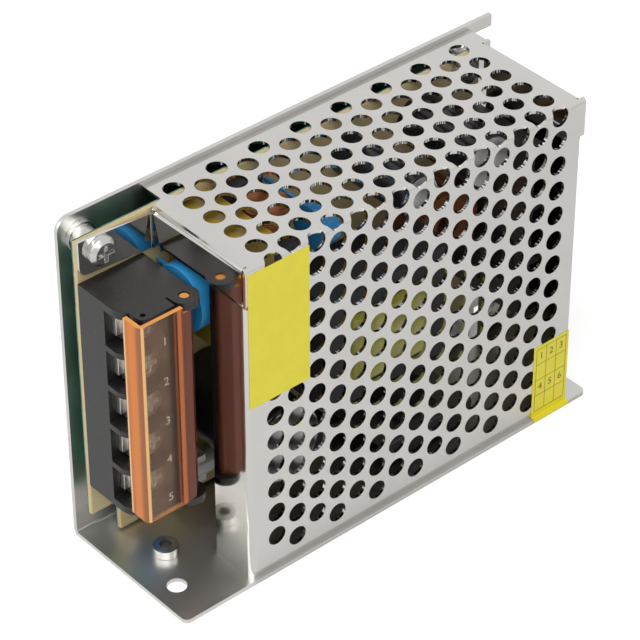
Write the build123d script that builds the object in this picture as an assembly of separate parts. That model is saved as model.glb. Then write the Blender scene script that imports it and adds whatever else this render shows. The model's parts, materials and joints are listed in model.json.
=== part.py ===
from build123d import *
import os
from math import sqrt

os.makedirs("parts", exist_ok=True)

# Enclosed switching supply, standing on its side plate.
# X runs from the terminal end to the rear, Y from the perforated broad face to the base plate,
# Z up from the side plate. Drawn from the corner at the terminal end, then moved to its origin.

# Chassis: side plate and base plate, one folded sheet
case_length = 110.0
case_depth = 36.0
case_width = 78.0
chassis_sheet = 1.0
chassis_bend = 0.5
free_corner_radius = 1.4
front_corner_radius = 3.0
rear_tab = 2.0
rear_slot_width = 3.6
rear_slot_reach = 6.0
rear_slot_drop = 4.6
side_hole_diameter = 4.1
side_hole_x = 5.3
side_hole_y = 9.4
nut_x = 9.9
nut_y = 18.6
nut_thread_bore = 2.5
nut_collar_diameter = 5.4
nut_shank_diameter = 3.9
nut_height = 2.0

# Perforated cover, one folded sheet
cover_sheet = 0.7
cover_bend = 0.4
cover_inset = 1.0
cover_drop = 1.1
cover_front = 17.5
cover_rear_setback = 5.0
rear_lip = 0.6
front_flange_width = 10.75
rear_flange_width = 9.0
corner_flange_depth = 8.7
flange_gap = 0.3
corner_slit = 0.45
slit_hole_diameter = 1.1
ear_width = 7.9
ear_slant = 1.2
ear_top_drop = 0.5
ear_reach = 17.3
ear_corner_radius = 1.9
board_edge_notch = 2.9

# Perforation, developed round the long bend
hole_diameter = 4.3
hole_pitch = 6.12
hole_sides = 8
first_hole_x = 24.3
first_hole_z = 8.7
first_hole_y = 5.9
hole_edge_margin = 3.9

# Board on its standoffs
standoff_height = 4.2
standoff_diameter = 5.4
standoff_ring_diameter = 6.6
standoff_ring_height = 1.1
standoff_hex = 4.8
board_thickness = 1.4
board_floor_gap = 0.6
board_edge_gap = 0.2
board_front = 0.1
board_rear_setback = 1.6
board_notch_length = 6.9
board_notch_height = 7.7
screw_diameter = 3.0
screw_hole_diameter = 3.4
screw_head_diameter = 6.2
screw_head_height = 2.1
thread_clearance = 0.05
post_inset = 5.1
front_post_x = 5.0
low_post_x = 11.2
post_bore_depth = 3.7
screw_tip_gap = 0.5
head_chamfer_share = 0.4
recess_share = 0.62

# Terminal block
ways = 5
way_pitch = 9.5
barrier = 1.3
end_wall = 1.7
block_bottom = 17.1
block_length = 15.5
contact_level = 7.9
rear_wall = 4.9
screw_bore_play = 0.6
screw_bore_floor = 1.2
rear_wall_height = 13.2
barrier_height = 14.2
barrier_nose_radius = 4.0
lobe_height = 17.1
front_lobe_x = 3.3
front_lobe_length = 6.4
front_lobe_radius = 1.5
lobe_bore = 1.1
hinge_x = 13.1
hinge_height = 15.65
hinge_lobe_radius = 2.9
hinge_lobe_flat = 0.6
hinge_lobe_root = 2.0
hinge_pin_diameter = 2.0
hinge_clearance = 0.08
bar_front = 1.8
bar_neck = 4.4
bar_neck_length = 1.4
bar_width = 7.6
bar_length = 8.6
bar_thickness = 1.2
clamp_side = 6.6
clamp_thickness = 0.9
terminal_screw_x = 6.5
terminal_screw_diameter = 3.5
terminal_head_diameter = 6.0
terminal_head_height = 2.3
terminal_screw_length = 6.4
seat_gap = 0.02
driver_slot_width = 0.9
driver_slot_depth = 1.1

# Hinged terminal guard
guard_wall = 1.0
guard_bend = 0.3
guard_height = 18.6
guard_front_gap = 0.1
guard_lip_height = 13.5
guard_window_lap = 1.0
guard_rail_length = 3.6
guard_rail_drop = 0.4
guard_rail_front = 1.6
guard_rail_back = 0.6
guard_rail_shoulder = 0.5
guard_roll_radius = 1.45
guard_end_gap = 0.12
guard_edge_gap = 0.2
guard_pin_recess = 0.3

# Capacitors and discs; a place is the distance from the cover's front or rear and from a board edge
film_cap = (10.0, 19.9, 26.5)
film_cap_place = (4.2, 1.6)
film_cap_edge = 0.8
disc_diameter = 14.0
disc_thickness = 4.2
surge_disc_place = (1.6, 16.0)
surge_disc_height = 9.0
safety_disc_share = 0.68
safety_disc_place = (28.5, 8.5)
safety_disc_height = 15.5
can_rim = 0.5
bulk_diameter = 18.0
bulk_height = 25.6
bulk_place = (11.6, 25.9)
output_cap_diameter = 10.0
output_cap_height = 21.1
output_cap_row = 4.6
output_cap_places = (37.0, 18.5)
second_cap_share = 1.2
aux_cap_diameter = 5.0
aux_cap_height = 11.0
aux_cap_place = (39.0, 16.4)

# Transformer
core_width = 33.0
core_height = 27.0
core_thickness = 11.0
core_leg = 5.3
core_place = (43.6, 35.6)
bobbin_gap = 0.25
winding_bulge = 2.0
winding_corner = 3.0
bobbin_base = 7.6
bobbin_rail = 4.4
bobbin_rail_inset = 1.5

# Line filter, fuse and output choke
filter_place = (20.6, 10.5)
filter_base = (10.0, 3.0, 16.0)
filter_spool = (8.0, 16.5, 2.0)
filter_coil_radius = 4.8
filter_coil_width = 6.4
filter_coil_offset = 4.4
filter_coil_height = 9.8
fuse_place = (3.4, 9.6)
fuse_radius = 2.6
fuse_length = 16.0
fuse_height = 3.4
fuse_clip = (4.0, 5.2, 6.8)
fuse_clip_inset = 0.3
choke_place = (19.0, 44.0)
choke_radius = 8.0
choke_core_radius = 3.2
choke_height = 10.5

# Semiconductors, heat sinks and small parts
bridge_place = (20.0, 8.5)
bridge_size = (15.0, 11.0, 3.4)
bridge_lift = 3.0
bridge_pin_pitch = 3.75
bridge_first_pin = 1.9
package_width = 10.0
package_tab = (5.0, 18.0, 1.3)
package_body = (4.0, 13.0, 4.4)
package_pin_pitch = 2.54
package_pin_depth = 2.4
package_pin_reach = 4.5
sink_height = 21.6
sink_sheet = 1.5
primary_sink_span = (42.0, 66.0)
primary_sink_level = 6.4
primary_sink_foot = 5.0
output_sink_setback = 7.5
output_sink_span = (20.0, 62.0)
output_sink_fin = 5.0
output_sink_fins = 4
rectifier_offset = 8.0
control_chip_size = (9.4, 3.6, 6.3)
control_chip_place = (44.0, 12.6)
optocoupler_size = (4.7, 3.6, 6.4)
optocoupler_place = (62.5, 12.0)
resistor_radius = 1.25
resistor_length = 6.3
resistor_places = ((54.5, 13.5), (54.5, 18.0), (70.5, 9.0), (70.5, 13.5))
lead_width = 0.7

# Trimmer and pilot lamp, beside the block
trimmer_side = 6.8
trimmer_height = 4.8
trimmer_recess = 1.2
trimmer_place = (3.4, 3.7)
rotor_radius = 2.5
rotor_play = 0.06
rotor_proud = 0.3
rotor_slot = (0.8, 0.5)
lamp_diameter = 3.0
lamp_height = 5.3
lamp_collar = (3.8, 1.0)
lamp_offset = (6.4, 1.4)

# Stickers
film_thickness = 0.1
front_label_size = (15.0, 31.6)
front_label_inset = (0.5, 1.3)
seal_label_span = (10.5, 0.4)
seal_label_height = 18.5

# Levels that follow from the sizes above
floor = chassis_sheet
base_face = case_depth - chassis_sheet
board_back = base_face - standoff_height
board_face = board_back - board_thickness
cover_top = case_width - cover_drop
cover_rear = case_length - cover_rear_setback
flange_top = cover_top - corner_flange_depth
board_low = floor + board_floor_gap
board_high = cover_top - cover_sheet - board_edge_gap
board_rear = cover_rear - board_rear_setback
block_height = ways * way_pitch - barrier + 2 * end_wall
block_top = block_bottom + block_height
contact_face = board_face - contact_level - bar_thickness
hinge_y = board_face - hinge_height
high_post_z = case_width - post_inset
low_post_z = board_low + post_inset
rear_post_x = board_rear - post_inset
way_centres = [block_bottom + end_wall - barrier / 2 + way_pitch * (way + 0.5) for way in range(ways)]

parts = {}


def span(x, y, z):
    """Box between the low and high values given for each direction."""
    return Pos(x[0], y[0], z[0]) * Box(x[1] - x[0], y[1] - y[0], z[1] - z[0], align=(Align.MIN,) * 3)


def rod_y(diameter, x, z, near, far):
    """Cylinder along Y from near to far."""
    middle = Pos(x, (near + far) / 2, z) * Rot(90, 0, 0)
    return middle * Cylinder(diameter / 2, abs(far - near))


def flat_rod(diameter, x, z, near, far, sides=12):
    """Rod along Y with few flat sides, for small round work; its corners lie on the diameter."""
    return cross(Pos(x, z) * RegularPolygon(diameter / 2, sides), near, far)


def flat_bore(diameter, x, z, near, far, sides=12):
    """Cutter for a small hole with few flat sides, which lie on the diameter."""
    return cross(Pos(x, z) * RegularPolygon(diameter / 2, sides, major_radius=False), near, far)


def rod_z(diameter, x, y, low, high):
    """Cylinder along Z from low to high."""
    return Pos(x, y, (low + high) / 2) * Cylinder(diameter / 2, high - low)


def rise(outline, low, high):
    """Outline in X and Y, extruded along Z."""
    return Pos(0, 0, low) * extrude(outline, high - low)


def run(outline, start, end):
    """Outline in Y and Z, extruded along X."""
    return Pos(start, 0, 0) * extrude(Plane.YZ * outline, end - start)


def cross(outline, near, far):
    """Outline in X and Z, extruded along Y."""
    return Pos(0, far, 0) * extrude(Plane.XZ * outline, far - near)


def folded(path, sheet, inside_radius, side=Side.LEFT):
    """Section of a folded sheet whose outer face follows the path."""
    return make_face(offset(FilletPolyline(*path, radius=inside_radius + sheet), sheet, side=side))


def standing(profile, x, z):
    """Turned part standing on the board: its profile gives radius and height above the board."""
    turned = revolve(Plane.XZ * make_face(Polyline(*profile, close=True)), Axis.Z)
    return Pos(x, board_face, z) * Rot(90, 0, 0) * turned


def middle_block(x, z, wide, tall, low, high):
    """Box centred on a place of the board, between two heights above it."""
    depth = (board_face - high, board_face - low)
    return span((x - wide / 2, x + wide / 2), depth, (z - tall / 2, z + tall / 2))


def leads(points, reach):
    """Straight flat leads from a raised part down to the board."""
    return [middle_block(x, z, lead_width, lead_width, 0, reach) for x, z in points]


def slot_cutters(x, z, head, top):
    """The two boxes of a crossed driver recess in a head whose top lies at the given level."""
    depth = (top - 0.1, top + driver_slot_depth)
    long = head * recess_share
    sizes = ((long, driver_slot_width), (driver_slot_width, long))
    return [span((x - wide / 2, x + wide / 2), depth, (z - tall / 2, z + tall / 2)) for wide, tall in sizes]


def make_chassis():
    """Side plate and base plate with their holes, corners and the open rear slot."""
    section = folded([(0, 0), (case_depth, 0), (case_depth, case_width)], chassis_sheet, chassis_bend)
    body = run(section, 0, case_length + rear_tab)
    bend = chassis_sheet + chassis_bend
    body -= span((case_length, case_length + rear_tab + 1), (-1, case_depth + 1), (-1, 2 * bend))
    side_corners = body.edges().filter_by(Axis.Z).group_by(Axis.Y)[0]
    body = fillet(side_corners, free_corner_radius)
    upright = body.edges().filter_by(Axis.Y).group_by(Axis.Z)[-1].sort_by(Axis.X)
    body = fillet(upright[0], front_corner_radius)
    slot_z = case_width - rear_slot_drop
    slot_end = case_length + rear_tab - rear_slot_reach
    body -= rod_y(rear_slot_width, slot_end, slot_z, base_face - 1, case_depth + 1)
    mouth = (slot_end, case_length + rear_tab + 1)
    half = rear_slot_width / 2
    body -= span(mouth, (base_face - 1, case_depth + 1), (slot_z - half, slot_z + half))
    for x, z in post_places():
        body -= flat_rod(standoff_hex, x, z, base_face - 1, case_depth + 1, 6)
    body -= rod_z(side_hole_diameter, side_hole_x, side_hole_y, -1, floor + 1)
    body -= rod_z(nut_shank_diameter, nut_x, nut_y, -1, floor + 1)
    parts["chassis_plate"] = body
    nut = rod_z(nut_collar_diameter, nut_x, nut_y, floor, floor + nut_height)
    nut += rod_z(nut_shank_diameter, nut_x, nut_y, 0, floor)
    parts["side_mount_nut"] = nut - rod_z(nut_thread_bore, nut_x, nut_y, -1, floor + nut_height + 1)


def post_places():
    """Places of the four board standoffs, the one under the cover's ear first."""
    return [
        (front_post_x, high_post_z),
        (low_post_x, low_post_z),
        (rear_post_x, high_post_z),
        (rear_post_x, low_post_z),
    ]


def hole_columns():
    """Place of each perforation column along X, and whether it is a shifted one."""
    step = hole_pitch * sqrt(3) / 2
    last = cover_rear - hole_edge_margin - hole_diameter / 2
    count = int((last - first_hole_x) / step) + 1
    return [(first_hole_x + step * column, column % 2 == 1) for column in range(count)]


def perforations():
    """Prisms for the holes of both faces; a hole on the long bend is cut from both sides."""
    blank = RegularPolygon(hole_diameter / 2 * 1.03, hole_sides)
    through = 1.0
    cuts = []
    for x, shifted in hole_columns():
        z = first_hole_z - (hole_pitch / 2 if shifted else 0)
        while z < cover_top:
            cutter = Pos(x, z) * blank
            cuts.append(cross(cutter, cover_inset - through, cover_inset + cover_sheet + through))
            z += hole_pitch
        y = first_hole_y - (hole_pitch / 2 if shifted else 0)
        if not shifted:
            y -= hole_pitch
        while y < base_face - hole_edge_margin:
            cutter = extrude(blank, cover_sheet + 2 * through)
            cuts.append(Pos(x, y, cover_top - cover_sheet - through) * cutter)
            y += hole_pitch
    return cuts


def make_cover():
    """Perforated sheet with the broad face, the top face, end flanges and the screw ear."""
    skin_low = cover_inset + cover_sheet
    outer = cover_sheet + cover_bend
    broad = folded(
        [
            (cover_front, cover_inset + front_flange_width),
            (cover_front, cover_inset),
            (cover_rear, cover_inset),
            (cover_rear, cover_inset + rear_flange_width),
        ],
        cover_sheet,
        cover_bend,
    )
    body = rise(broad, floor, flange_top)
    upper = folded(
        [(cover_inset, flange_top - 1), (cover_inset, cover_top), (base_face, cover_top)],
        cover_sheet,
        cover_bend,
        Side.RIGHT,
    )
    long_fold = run(upper, cover_front, cover_rear + rear_lip)
    long_fold -= span((0, cover_front + outer), (0, case_depth), (0, flange_top - 0.5))
    long_fold -= span((cover_rear - outer, case_length), (0, case_depth), (0, flange_top - 0.5))
    flange_start = skin_low + corner_slit
    for low, high in ((cover_front - 1, cover_front + outer), (cover_rear - outer, cover_rear + 1)):
        long_fold -= span((low, high), (flange_start, board_face), (flange_top, case_width))
    long_fold -= span(
        (cover_front - 1, cover_front + board_edge_notch), (board_face, case_depth), (flange_top, case_width)
    )
    body += long_fold
    drop = flange_top + flange_gap
    across = folded(
        [(cover_front, drop), (cover_front, cover_top), (cover_rear, cover_top), (cover_rear, drop)],
        cover_sheet,
        cover_bend,
        Side.RIGHT,
    )
    body += cross(across, flange_start, board_face - cover_bend)
    tip = cover_front - ear_reach
    flange_back = cover_front + cover_sheet
    bent_ear = folded(
        [(flange_back, board_face - 3), (flange_back, board_face), (tip, board_face)],
        cover_sheet,
        cover_bend,
    )
    ear_top = cover_top - ear_top_drop
    slanted = Polygon(
        (tip, ear_top),
        (tip, ear_top - ear_width),
        (flange_back, ear_top - ear_width - ear_slant),
        (flange_back, ear_top - ear_slant),
        align=None,
    )
    ear = rise(bent_ear, ear_top - ear_width - ear_slant, ear_top)
    ear &= cross(slanted, board_face - 4, board_face + 1)
    corners = ear.edges().filter_by(Axis.Y).group_by(Axis.X)[0].sort_by(Axis.Z)
    ear = fillet(corners[0], ear_corner_radius)
    body += ear - flat_bore(screw_hole_diameter, front_post_x, high_post_z, board_face - 2, board_face + 1)
    body -= flat_bore(slit_hole_diameter, cover_front, flange_top, cover_inset - 1, skin_low + 1, 8)
    body -= perforations()
    parts["perforated_cover"] = body


def make_board():
    """Circuit board, its standoffs and screws."""
    board = span((board_front, board_rear), (board_face, board_back), (board_low, board_high))
    notch = (board_low - 1, board_low + board_notch_height)
    board -= span((board_front - 1, board_front + board_notch_length), (board_face - 1, board_back + 1), notch)
    posts = []
    screws = []
    for number, (x, z) in enumerate(post_places()):
        board -= flat_bore(screw_hole_diameter, x, z, board_face - 1, board_back + 1)
        post = flat_rod(standoff_diameter, x, z, board_back, base_face)
        post += flat_rod(standoff_ring_diameter, x, z, base_face - standoff_ring_height, base_face)
        post += flat_rod(standoff_hex, x, z, base_face, case_depth, 6)
        posts.append(post - flat_bore(screw_diameter, x, z, board_back - 1, board_back + post_bore_depth))
        seat = board_face - (cover_sheet if number == 0 else 0)
        turned = rod_y if number == 0 else flat_rod
        screw = turned(screw_head_diameter, x, z, seat - screw_head_height, seat)
        if number == 0:
            screw = chamfer(screw.edges().group_by(Axis.Y)[0], screw_head_height * head_chamfer_share)
            screw -= slot_cutters(x, z, screw_head_diameter, seat - screw_head_height)
        tip = board_back + post_bore_depth - screw_tip_gap
        screws.append(screw + flat_rod(screw_diameter - 2 * thread_clearance, x, z, seat, tip))
    parts["circuit_board"] = board
    parts["board_standoffs"] = Compound(posts)
    parts["ear_screw"] = screws[0]
    parts["board_screws"] = Compound(screws[1:])


def make_terminal_block():
    """Moulded block with open pockets, hinge lobes and a bore under each screw."""
    nose_y = board_face - barrier_height
    deck = board_face - contact_level
    rear_y = board_face - rear_wall_height
    radius = barrier_nose_radius
    pocket_rear = block_length - rear_wall
    nose = JernArc((0, nose_y + radius), (0, -1), radius, 90)
    edge = Polyline(nose @ 1, (pocket_rear, nose_y), (pocket_rear, rear_y), (block_length, rear_y))
    rest = Polyline(edge @ 1, (block_length, board_face), (0, board_face), nose @ 0)
    body = rise(make_face(nose + edge + rest), block_bottom, block_top)
    for z in way_centres:
        pocket = (z - (way_pitch - barrier) / 2, z + (way_pitch - barrier) / 2)
        body -= span((-1, pocket_rear), (nose_y - 1, deck), pocket)
        bore = terminal_screw_diameter + screw_bore_play
        body -= flat_bore(bore, terminal_screw_x, z, deck - 1, board_face - screw_bore_floor, 4)
    front_y = board_face - lobe_height + front_lobe_radius
    for low in (block_bottom, block_top - end_wall):
        lobe = rise(Pos(front_lobe_x, front_y) * Circle(front_lobe_radius), low, low + end_wall)
        lobe += span(
            (front_lobe_x - front_lobe_radius, front_lobe_x + front_lobe_length),
            (front_y, nose_y + radius),
            (low, low + end_wall),
        )
        lobe += span(
            (front_lobe_x, front_lobe_x + front_lobe_length),
            (front_y - front_lobe_radius, front_y),
            (low, low + end_wall),
        )
        lobe -= rod_z(lobe_bore, front_lobe_x, front_y, low - 1, low + end_wall + 1)
        ring = rise(Pos(hinge_x, hinge_y) * Circle(hinge_lobe_radius), low, low + end_wall)
        ring += span(
            (hinge_x - hinge_lobe_radius, hinge_x + hinge_lobe_radius - hinge_lobe_flat),
            (hinge_y, rear_y + hinge_lobe_root),
            (low, low + end_wall),
        )
        body += lobe + ring
    bore = hinge_pin_diameter + 2 * hinge_clearance
    body -= rod_z(bore, hinge_x, hinge_y, block_bottom - 1, block_bottom + end_wall + 0.01)
    body -= rod_z(bore, hinge_x, hinge_y, block_top - end_wall - 0.01, block_top + 1)
    parts["terminal_block"] = body


def make_terminals():
    """Contact bars, and a captive clamp and screw for each way."""
    deck = board_face - contact_level
    bars = []
    for number, z in enumerate(way_centres, start=1):
        neck_end = bar_front + bar_neck_length
        depth = (contact_face, deck)
        bar = span((neck_end, bar_front + bar_length), depth, (z - bar_width / 2, z + bar_width / 2))
        bar += span((bar_front, neck_end), depth, (z - bar_neck / 2, z + bar_neck / 2))
        bore = flat_bore(terminal_screw_diameter, terminal_screw_x, z, contact_face - 1, deck + 1)
        bars.append(bar - bore)
        clamp_face = contact_face - seat_gap - clamp_thickness
        half = clamp_side / 2
        clamp = span(
            (terminal_screw_x - half, terminal_screw_x + half),
            (clamp_face, clamp_face + clamp_thickness),
            (z - half, z + half),
        )
        shank = terminal_screw_diameter - 2 * thread_clearance
        hole = terminal_screw_diameter + 2 * thread_clearance
        clamp -= flat_bore(hole, terminal_screw_x, z, clamp_face - 1, clamp_face + clamp_thickness + 1)
        parts[f"clamp_plate_{number}"] = clamp
        seat = clamp_face - seat_gap
        top = seat - terminal_head_height
        screw = rod_y(terminal_head_diameter, terminal_screw_x, z, top, seat)
        screw -= slot_cutters(terminal_screw_x, z, terminal_head_diameter, top)
        parts[f"terminal_screw_{number}"] = screw + flat_rod(
            shank, terminal_screw_x, z, seat, seat + terminal_screw_length
        )
    parts["contact_bars"] = Compound(bars)


def make_guard():
    """Clear guard that turns on two moulded pins in the block's rear lobes."""
    face = board_face - guard_height
    lip = board_face - guard_lip_height
    rail_front = hinge_x - guard_rail_length
    wrap = [(guard_front_gap, lip), (guard_front_gap, face), (rail_front + guard_window_lap, face)]
    window = folded(wrap, guard_wall, guard_bend)
    rail = Polygon(
        (rail_front, face + guard_rail_drop),
        (hinge_x - guard_rail_back, face + guard_rail_drop),
        (hinge_x + guard_roll_radius, hinge_y - guard_rail_shoulder),
        (hinge_x + guard_roll_radius, hinge_y),
        (hinge_x - guard_roll_radius, hinge_y),
        (rail_front, face + guard_rail_drop + guard_rail_front),
        align=None,
    )
    low = block_bottom + end_wall + guard_end_gap
    high = block_top - end_wall - guard_end_gap
    body = rise(window + rail + Pos(hinge_x, hinge_y) * Circle(guard_roll_radius), low, high)
    body += rise(window, high, block_top - guard_edge_gap)
    pins = (block_bottom + guard_pin_recess, block_top - guard_pin_recess)
    body += rod_z(hinge_pin_diameter, hinge_x, hinge_y, *pins)
    parts["terminal_guard"] = body


def make_transformer():
    """Two E cores lying parallel to the board, with the taped winding and pin rails."""
    x, z = cover_front + core_place[0], board_low + core_place[1]
    near = board_face - bobbin_base - winding_bulge - core_thickness
    far = near + core_thickness
    window = Rectangle(core_width - 2 * core_leg, core_height - 2 * core_leg)
    frame = Rectangle(core_width, core_height) - window
    core = cross(Pos(x, z) * frame, near, far)
    parts["transformer_core"] = core
    wide = core_width - 2 * (core_leg + bobbin_gap)
    tall = core_height - 2 * (core_leg + bobbin_gap)
    across = (x - wide / 2, x + wide / 2)
    coil = span(across, (near - winding_bulge, far + winding_bulge), (z - tall / 2, z + tall / 2))
    parts["transformer_winding"] = fillet(coil.edges().filter_by(Axis.Z), winding_corner)
    rails = []
    for side in (-1, 1):
        middle = z + side * (tall / 2 - bobbin_rail_inset)
        up = (middle - bobbin_rail / 2, middle + bobbin_rail / 2)
        rails.append(span(across, (far + winding_bulge, board_face), up))
    parts["transformer_bobbin"] = Compound(rails)


def make_capacitors():
    """Film, disc and electrolytic capacitors and the surge disc."""
    long, tall, wide = film_cap
    x = cover_front + film_cap_place[0]
    top = board_high - film_cap_place[1]
    block = span((x, x + long), (board_face - tall, board_face), (top - wide, top))
    parts["film_capacitor"] = fillet(block.edges().filter_by(Axis.X), film_cap_edge)

    def disc(place, height, diameter):
        x, z = cover_front + place[0], board_high - place[1]
        turned = Pos(x, board_face - height, z) * Rot(0, 90, 0) * Cylinder(diameter / 2, disc_thickness)
        for pin in leads([(x, z - diameter / 4), (x, z + diameter / 4)], height):
            turned += pin
        return turned

    parts["surge_disc"] = disc(surge_disc_place, surge_disc_height, disc_diameter)
    parts["safety_disc"] = disc(safety_disc_place, safety_disc_height, disc_diameter * safety_disc_share)

    def can(x, z, diameter, height):
        radius = diameter / 2
        shoulder = [(radius, height - can_rim), (radius - can_rim, height)]
        return standing([(0, 0), (radius, 0), *shoulder, (0, height)], x, z)

    x, z = cover_front + bulk_place[0], board_low + bulk_place[1]
    parts["bulk_capacitor"] = can(x, z, bulk_diameter, bulk_height)
    row = board_high - output_cap_diameter / 2 - output_cap_row
    for number, (setback, share) in enumerate(zip(output_cap_places, (1.0, second_cap_share)), start=1):
        wide = output_cap_diameter * share
        parts[f"output_capacitor_{number}"] = can(cover_rear - setback, row, wide, output_cap_height)
    x, z = cover_front + aux_cap_place[0], board_low + aux_cap_place[1]
    parts["auxiliary_capacitor"] = can(x, z, aux_cap_diameter, aux_cap_height)


def make_filters():
    """Line filter, fuse, surge limiter and output choke."""
    x, z = cover_front + filter_place[0], board_high - filter_place[1]
    wide, base_height, tall = filter_base
    base = middle_block(x, z, wide, tall, 0, base_height)
    spool = middle_block(x, z, filter_spool[0], filter_spool[2], base_height, filter_spool[1])
    parts["line_filter_bobbin"] = base + spool
    coils = []
    ring = Pos(x, board_face - filter_coil_height) * RegularPolygon(filter_coil_radius, 12)
    for side in (-1, 1):
        low = z + side * filter_coil_offset - filter_coil_width / 2
        coils.append(rise(ring, low, low + filter_coil_width))
    parts["line_filter_coils"] = Compound(coils)
    start, fuse_z = cover_front + fuse_place[0], board_low + fuse_place[1]
    tube = Pos(board_face - fuse_height, fuse_z) * RegularPolygon(fuse_radius, 12)
    parts["fuse"] = run(tube, start, start + fuse_length)
    long, high, wide = fuse_clip
    clips = []
    for end in (start + fuse_clip_inset, start + fuse_length - fuse_clip_inset - long):
        clip = middle_block(end + long / 2, fuse_z, long, wide, 0, high)
        clips.append(clip - run(tube, end - 1, end + long + 1))
    parts["fuse_clips"] = Compound(clips)
    ring = Circle(choke_radius) - Circle(choke_core_radius)
    place = Pos(cover_rear - choke_place[0], board_low + choke_place[1])
    parts["output_choke"] = cross(place * ring, board_face - choke_height, board_face)


def make_power_parts():
    """Bridge, heat sinks with their transistors, and the small control parts."""
    x, z = cover_front + bridge_place[0], board_low + bridge_place[1]
    wide, high, thick = bridge_size
    bridge = middle_block(x + wide / 2, z + thick / 2, wide, thick, bridge_lift, bridge_lift + high)
    places = [(x + bridge_first_pin + bridge_pin_pitch * index, z + thick / 2) for index in range(4)]
    for pin in leads(places, bridge_lift + 1.0):
        bridge += pin
    parts["bridge_rectifier"] = bridge

    def package(place, turned):
        """Package flat against a sink: it faces up, or faces the terminal end when turned."""
        x, z = place
        half = package_width / 2
        made = []
        for (low, high, thick), near in ((package_tab, 0), (package_body, package_tab[2])):
            depth = (board_face - high, board_face - low)
            if turned:
                made.append(span((x - thick, x - near), depth, (z - half, z + half)))
            else:
                made.append(span((x - half, x + half), depth, (z + near, z + thick)))
        for step in (-package_pin_pitch, 0, package_pin_pitch):
            pin = (x - package_pin_depth, z + step) if turned else (x + step, z + package_pin_depth)
            made += leads([pin], package_pin_reach)
        return made[0] + made[1:]

    sink_z = board_low + primary_sink_level
    across = tuple(cover_front + reach for reach in primary_sink_span)
    top = board_face - sink_height
    plate = span(across, (top, board_face), (sink_z - sink_sheet, sink_z))
    plate += span(across, (top, top + sink_sheet), (sink_z - primary_sink_foot, sink_z))
    parts["primary_heat_sink"] = plate
    parts["switch_transistor"] = package((sum(across) / 2, sink_z), False)

    rear_x = cover_rear - output_sink_setback
    low_z, high_z = (board_low + reach for reach in output_sink_span)
    plate = span((rear_x, rear_x + sink_sheet), (top, board_face), (low_z, high_z))
    for step in range(output_sink_fins):
        fin_z = low_z + step * (high_z - low_z - sink_sheet) / (output_sink_fins - 1)
        plate += span((rear_x, rear_x + output_sink_fin), (top, board_face), (fin_z, fin_z + sink_sheet))
    parts["output_heat_sink"] = plate
    parts["output_rectifier"] = package((rear_x, (low_z + high_z) / 2 - rectifier_offset), True)

    for name, size, place in (
        ("control_chip", control_chip_size, control_chip_place),
        ("optocoupler", optocoupler_size, optocoupler_place),
    ):
        x, z = cover_front + place[0], board_low + place[1]
        parts[name] = middle_block(x + size[0] / 2, z + size[2] / 2, size[0], size[2], 0, size[1])
    resistors = []
    for x, z in resistor_places:
        outline = RegularPolygon(resistor_radius, 8, False, rotation=22.5)
        placed = Pos(board_face - resistor_radius, board_low + z) * outline
        resistors.append(run(placed, cover_front + x, cover_front + x + resistor_length))
    parts["resistors"] = Compound(resistors)


def make_controls():
    """Voltage trimmer with its turning rotor, and the pilot lamp beside it."""
    x, z = block_length - trimmer_place[0], block_bottom - trimmer_place[1]
    body = middle_block(x, z, trimmer_side, trimmer_side, 0, trimmer_height)
    top = board_face - trimmer_height
    seat = top + trimmer_recess
    parts["trimmer_body"] = body - rod_y(2 * (rotor_radius + rotor_play), x, z, top - 1, seat)
    rotor = rod_y(2 * rotor_radius, x, z, top - rotor_proud, seat - seat_gap)
    across = (x - rotor_radius - 1, x + rotor_radius + 1)
    rotor -= span(across, (top - 1, top + rotor_slot[1]), (z - rotor_slot[0] / 2, z + rotor_slot[0] / 2))
    parts["trimmer_rotor"] = rotor
    lamp_x, lamp_z = x - lamp_offset[0], z + lamp_offset[1]
    lamp = flat_rod(lamp_diameter, lamp_x, lamp_z, board_face - lamp_height, board_face)
    collar = flat_rod(lamp_collar[0], lamp_x, lamp_z, board_face - lamp_collar[1], board_face)
    parts["pilot_lamp"] = lamp + collar


def make_labels():
    """Two thin stickers on the broad face; the rear one laps over the side plate's edge."""
    near = cover_inset - film_thickness
    left = cover_front + front_label_inset[0]
    top = cover_top - front_label_inset[1]
    wide, tall = front_label_size
    parts["front_label"] = span((left, left + wide), (near, cover_inset), (top - tall, top))
    lap = [
        (cover_inset, floor + seal_label_height),
        (near, floor + seal_label_height),
        (near, floor + film_thickness),
        (-film_thickness, floor + film_thickness),
        (-film_thickness, film_thickness),
        (0, film_thickness),
        (0, floor),
        (cover_inset, floor),
    ]
    outline = make_face(Polyline(*lap, close=True))
    parts["seal_label"] = run(outline, cover_rear - seal_label_span[0], cover_rear - seal_label_span[1])


make_chassis()
make_cover()
make_board()
make_terminal_block()
make_terminals()
make_guard()
make_transformer()
make_capacitors()
make_filters()
make_power_parts()
make_controls()
make_labels()

# Origin: centre of the outer box in plan, at the side plate's underside
to_origin = Pos(-(case_length + rear_tab) / 2, -(case_depth - film_thickness) / 2, 0)
for name, solid in parts.items():
    export_step(to_origin * solid, f"parts/{name}.step")
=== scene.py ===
"""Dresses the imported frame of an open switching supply: tinned sheet, clear guard, terminals and board."""

import json
import math
from types import SimpleNamespace

import bmesh
import bpy
from bpy.props import FloatProperty, FloatVectorProperty, IntProperty, PointerProperty
from mathutils import Matrix, Vector
from mathutils.geometry import delaunay_2d_cdt


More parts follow.
